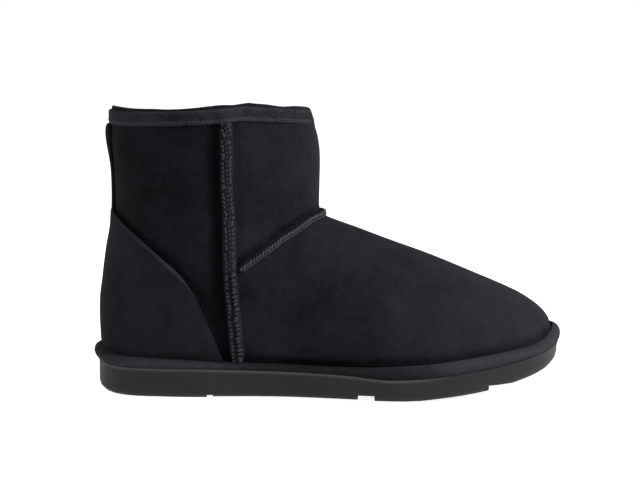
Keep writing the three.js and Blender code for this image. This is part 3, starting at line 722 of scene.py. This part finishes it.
def fleece(name, dark, light):
    """Curly wool pile: clumps a few millimetres across, broken into fine curls."""
    finish = Finish(name, {"Roughness": 1.0, "Specular IOR Level": 0.05, "Sheen Weight": 0.05})
    places = finish.places()
    clumps = finish.noise(places, 240.0, 3.0, 0.65)
    curls = finish.noise(places, 900.0, 3.0, 0.7)
    finish.colour((clumps * 0.6 + curls * 0.7 - 0.15).clamp(), dark, light)
    finish.relief(clumps * 0.5 + curls * 0.5, 1.6 * MM, 0.9)
    return finish.material


def curled(points, ways, pile):
    """Lifts points into clumps of wool."""
    lifts = []
    for point in points:
        spot = Vector(point)
        clump = noise.noise(spot * 210.0) * 0.6 + noise.noise(spot * 480.0) * 0.4
        lifts.append(pile * (0.55 + 0.45 * clump) * MM)
    return points + ways * np.array(lifts)[:, None]


lining = copy_node("upper")
lining.normal_update()
rims = []
for face in lining.faces:
    middle = face.calc_center_median()
    way = Vector(outwards(np.array([middle]))[0])
    if face.normal.dot(way) > -0.15 or abs(face.normal.z) > 0.9 and middle.z < 0.03:
        rims.append(face)
bmesh.ops.delete(lining, geom=rims, context="FACES")
wool = fleece("fleece", (0.004, 0.004, 0.005), (0.03, 0.03, 0.034))
lining = with_modifier(lining, "SUBSURF", {"levels": 3, "render_levels": 3})
places = softened(corners(lining))
move_corners(lining, curled(places, -outwards(places), 5.0))
make_piece("fleece_lining", lining, wool)

insole = subdivided(copy_node("insole"), 4, 0.0)
places = corners(insole)
up = np.where((places[:, 2] > np.median(places[:, 2]))[:, None], np.array([[0.0, 0.0, 1.0]]), 0.0)
move_corners(insole, curled(places, up, 3.0))
make_piece("insole_fleece", insole, wool, "insole")

# The outsole
# One moulded foam rubber unit: heel pad, raised waist, cross groove, forefoot pad and stepped
# toe, with shallow chevrons under both pads and a thin lip round its top edge.


def rubber(name, dark, light):
    """Moulded foam rubber: matt, with a fine mould grain, and a painted highlight along its lip."""
    finish = Finish(name, {"Roughness": 0.62, "Specular IOR Level": 0.15})
    places = finish.places()
    cloud = finish.noise(places, 30.0, 3.0, 0.6)
    grain = finish.noise(places, 1100.0, 2.0, 0.6)
    lip = (1.85 - finish.painted("drop") / 1.2).clamp() * finish.painted("lip_highlight")
    finish.colour((cloud * 0.28 + grain * 0.16 - 0.09 + lip).clamp(), dark, light)
    finish.feed("Roughness", cloud * 0.15 + grain * 0.1 + 0.5)
    finish.relief(grain, 0.12 * MM, 0.5)
    return finish.material


sole_finish = rubber("sole_rubber", (0.004, 0.004, 0.005), (0.034, 0.034, 0.037))
sole = copy_node("outsole")
sole_tree = BVHTree.FromBMesh(sole)
grooves = bmesh.new()
GROOVE_WIDTH, GROOVE_DEPTH, ARM_LEAN, EDGE = 2.0, 1.1, 22.0, 10.0
for first, last, gap in ((0.075, 0.235, 6.5), (0.6, 0.87, 6.5)):
    along = first
    while along < last:
        x = on_boot(along, 0.0).x
        floor_hit, _, _, _ = sole_tree.ray_cast(Vector((x, 0.0, -0.05)), Vector((0.0, 0.0, 1.0)))
        ends = []
        for side in (OUTER, INNER):
            start = Vector((x, side * 0.2, floor_hit.z + 6 * MM))
            hit, _, _, _ = sole_tree.ray_cast(start, Vector((0.0, -side, 0.0)))
            ends.append(hit.y - side * EDGE * MM)
        middle = (ends[0] + ends[1]) / 2
        for side, end in zip((OUTER, INNER), ends):
            reach = abs(end - middle) / math.cos(math.radians(ARM_LEAN))
            arm = bmesh.ops.create_cube(grooves, size=MM)["verts"]
            bmesh.ops.scale(grooves, verts=arm, vec=(GROOVE_WIDTH, reach / MM, 2 * GROOVE_DEPTH))
            bmesh.ops.translate(grooves, verts=arm, vec=(0.0, side * reach / 2, 0.0))
            lean = Matrix.Rotation(math.radians(ARM_LEAN) * side, 3, "Z")
            bmesh.ops.rotate(grooves, verts=arm, matrix=lean)
            bmesh.ops.translate(grooves, verts=arm, vec=(x, middle, floor_hit.z))
        along += gap * MM / LENGTH
cutter_mesh = bpy.data.meshes.new("grooves")
grooves.to_mesh(cutter_mesh)
grooves.free()
cutter = bpy.data.objects.new("grooves", cutter_mesh)
bpy.context.collection.objects.link(cutter)
sole = with_modifier(sole, "BOOLEAN", {
    "operation": "DIFFERENCE",
    "solver": "EXACT",
    "use_self": True,
    "object": cutter,
})
bpy.data.objects.remove(cutter)
places = corners(sole)
edges = np.linspace(places[:, 0].min(), places[:, 0].max(), 60)
tops = [places[np.abs(places[:, 0] - edge) < 4 * MM, 2].max() for edge in edges]
below_lip = np.interp(places[:, 0], edges, tops) - places[:, 2]
paint(sole, "drop", below_lip / MM)
# Painted highlight along the top of the lip, fading out before the toe.
paint(sole, "lip_highlight", 0.7 * np.clip((0.74 - (places[:, 0] - HEEL_X) / LENGTH) / 0.06, 0.0, 1.0))
sole_piece = make_piece("outsole_rubber", sole, sole_finish, "outsole")
sole_piece.data.set_sharp_from_angle(angle=math.radians(38))

# The rand
# Twill wrapped round a soft core and sewn to the upper all round, so that it closes the joint
# over the sole. The stitches that hold it show as a row of short dark dashes.
rand = subdivided(copy_node("rand"), 2)
rand.verts.index_update()
places = corners(rand)
boot_middle = np.array(on_boot(0.5, 0.1))
welt = Round(places, boot_middle)
turns = welt.turns(places)
reach = np.linalg.norm(places[:, :2] - boot_middle[:2], axis=1) - welt.at("radius", turns)
rise = places[:, 2] - welt.at("height", turns)
across = np.arctan2(rise, reach) * 5.0 * MM
low = np.clip(-rise / (welt.at("top", turns) - welt.at("height", turns)) - 0.5, 0.0, 0.4) / 0.4
places[:, 2] -= 0.25 * MM * low
move_corners(rand, places)
lay_cloth(rand, welt, across)
# How light the twill is painted, against the share of the way along the boot: painted light towards the
# heel and the toe, painted shade through the middle.
RAND_PAINTED_LIGHT = ((0.0, 1.0), (0.25, 0.85), (0.35, 0.3), (0.62, 0.15), (0.7, 0.3), (0.77, 0.9), (1.0, 0.75))
along = (places[:, 0] - HEEL_X) / LENGTH
# Painted light on the twill's top and painted shade at its foot.
shade = np.interp(along, *zip(*RAND_PAINTED_LIGHT)) + 0.2 * np.clip(rise / (4 * MM), -1, 1)
paint(rand, "shade", shade)
rand_finish = twill("rand_twill", (0.002, 0.002, 0.0028), (0.0178, 0.0176, 0.021), 360, 2.0)
make_piece("rand_twill", rand, rand_finish, "rand")
# The stitches are drawn near-black: painted shade where they sink into the suede.
stitches = bmesh.new()
line = ring_line(upper_tree, welt, welt.top + 0.9 * MM, 0.25)
sew(stitches, laid(upper_tree, line, 3.4), 2.1, 0.8)
make_piece("rand_stitches", stitches, stitch_and_hole_shade)

# The studio
# A plain white floor, a white room round it and soft lamps: one strong lamp high on the toe's
# side, and weak ones in front, above and behind the heel.
floor_shape = bmesh.new()
bmesh.ops.create_grid(floor_shape, x_segments=1, y_segments=1, size=6.0)
floor_mesh = bpy.data.meshes.new("floor")
floor_shape.to_mesh(floor_mesh)
floor_shape.free()
floor_finish = Finish("floor", {
    "Base Color": (0.5, 0.5, 0.5, 1.0),
    "Roughness": 0.9,
    "Specular IOR Level": 0.0,
    "Emission Color": (1.0, 1.0, 1.0, 1.0),
    "Emission Strength": 0.9,
})
floor_mesh.materials.append(floor_finish.material)
floor = bpy.data.objects.new("floor", floor_mesh)
bpy.context.collection.objects.link(floor)

world = bpy.data.worlds.new("room")
world.use_nodes = True
room = world.node_tree.nodes
room["Background"].inputs["Strength"].default_value = 0.35
room["Background"].inputs["Color"].default_value = (1.0, 1.0, 1.0, 1.0)
wall = room.new("ShaderNodeBackground")
wall.inputs["Color"].default_value = (1.0, 1.0, 1.0, 1.0)
seen = room.new("ShaderNodeLightPath")
both = room.new("ShaderNodeMixShader")
world.node_tree.links.new(seen.outputs["Is Camera Ray"], both.inputs[0])
world.node_tree.links.new(room["Background"].outputs[0], both.inputs[1])
world.node_tree.links.new(wall.outputs[0], both.inputs[2])
world.node_tree.links.new(both.outputs[0], room["World Output"].inputs["Surface"])
bpy.context.scene.world = world
bpy.context.scene.view_settings.view_transform = "Standard"

AIM = on_boot(0.5, 0.4)
for name, place, size, power in (
    ("toe_lamp", (1.35, -0.6, 0.95), 0.9, 60.0),
    ("front_lamp", (0.2, -1.6, 0.9), 0.9, 9.0),
    ("top_lamp", (0.3, 0.1, 1.5), 1.2, 10.0),
    ("heel_lamp", (-1.3, -0.25, 0.5), 0.9, 4.0),
):
    lamp = bpy.data.lights.new(name, "AREA")
    lamp.size = size
    lamp.energy = power
    lamp_object = bpy.data.objects.new(name, lamp)
    lamp_object.location = place
    lamp_object.rotation_euler = (AIM - Vector(place)).to_track_quat("-Z", "Y").to_euler()
    bpy.context.collection.objects.link(lamp_object)

CAMERA_PLACE = (-0.00519, -1.1, 0.225)
CAMERA_PITCH = 0.1212
FOCAL_PIXELS = 1795.66
IMAGE_WIDTH = 640
SENSOR = 36.0
camera_data = bpy.data.cameras.new("camera")
camera_data.sensor_width = SENSOR
camera_data.lens = FOCAL_PIXELS / IMAGE_WIDTH * SENSOR
camera = bpy.data.objects.new("camera", camera_data)
camera.location = CAMERA_PLACE
camera.rotation_euler = (math.pi / 2 - CAMERA_PITCH, 0.0, 0.0)
bpy.context.collection.objects.link(camera)
bpy.context.scene.camera = camera
